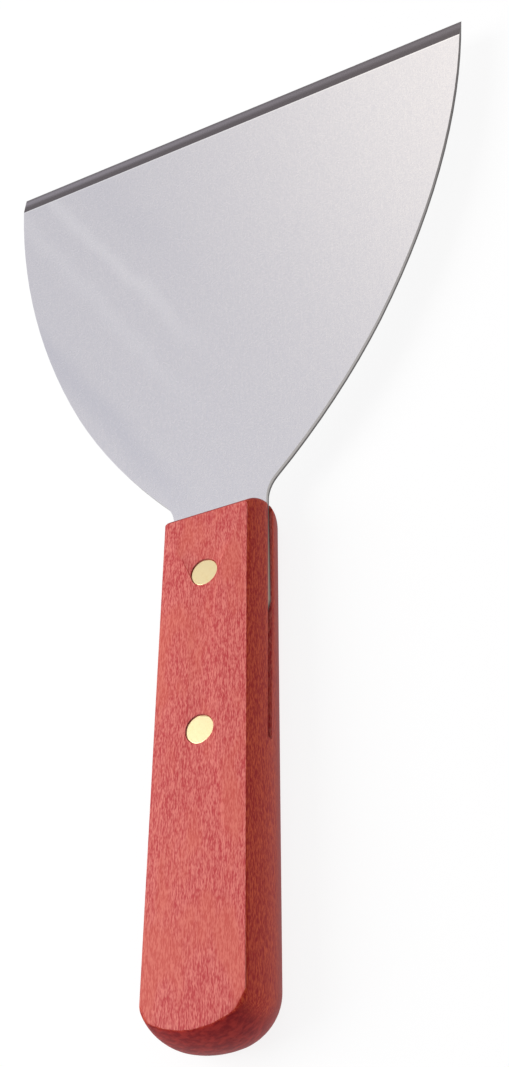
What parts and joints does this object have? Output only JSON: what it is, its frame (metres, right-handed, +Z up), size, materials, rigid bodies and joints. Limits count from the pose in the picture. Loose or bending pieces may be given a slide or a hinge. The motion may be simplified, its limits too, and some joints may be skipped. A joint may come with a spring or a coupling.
{
  "type": "bench scraper",
  "caption": "Bench scraper with a fan-shaped flexible steel blade, ground straight cutting edge and a slim stained hardwood handle, slotted for the tang and riveted in brass",
  "frame": {"origin": "centre of the bounding box in plan, at the height of the handle's underside", "axes": "the tool lies on its back: +Y runs from the butt of the handle to the cutting edge, +X across the blade, +Z up out of the face the bevel is ground on"},
  "size_m": [0.1324, 0.2488, 0.0146],
  "materials": {
    "blade_steel": "fine grain running from handle to edge, satin",
    "stained_wood": "red-brown stain, fine short flecks along the grain, low sheen",
    "rivet_brass": "turned and polished, slightly dulled"
  },
  "bodies": {
    "root": {"blade": "blade_steel", "handle": "stained_wood", "front_rivet_pin": "rivet_brass", "front_rivet_sleeve": "rivet_brass", "rear_rivet_pin": "rivet_brass", "rear_rivet_sleeve": "rivet_brass"}
  },
  "joints": []
}
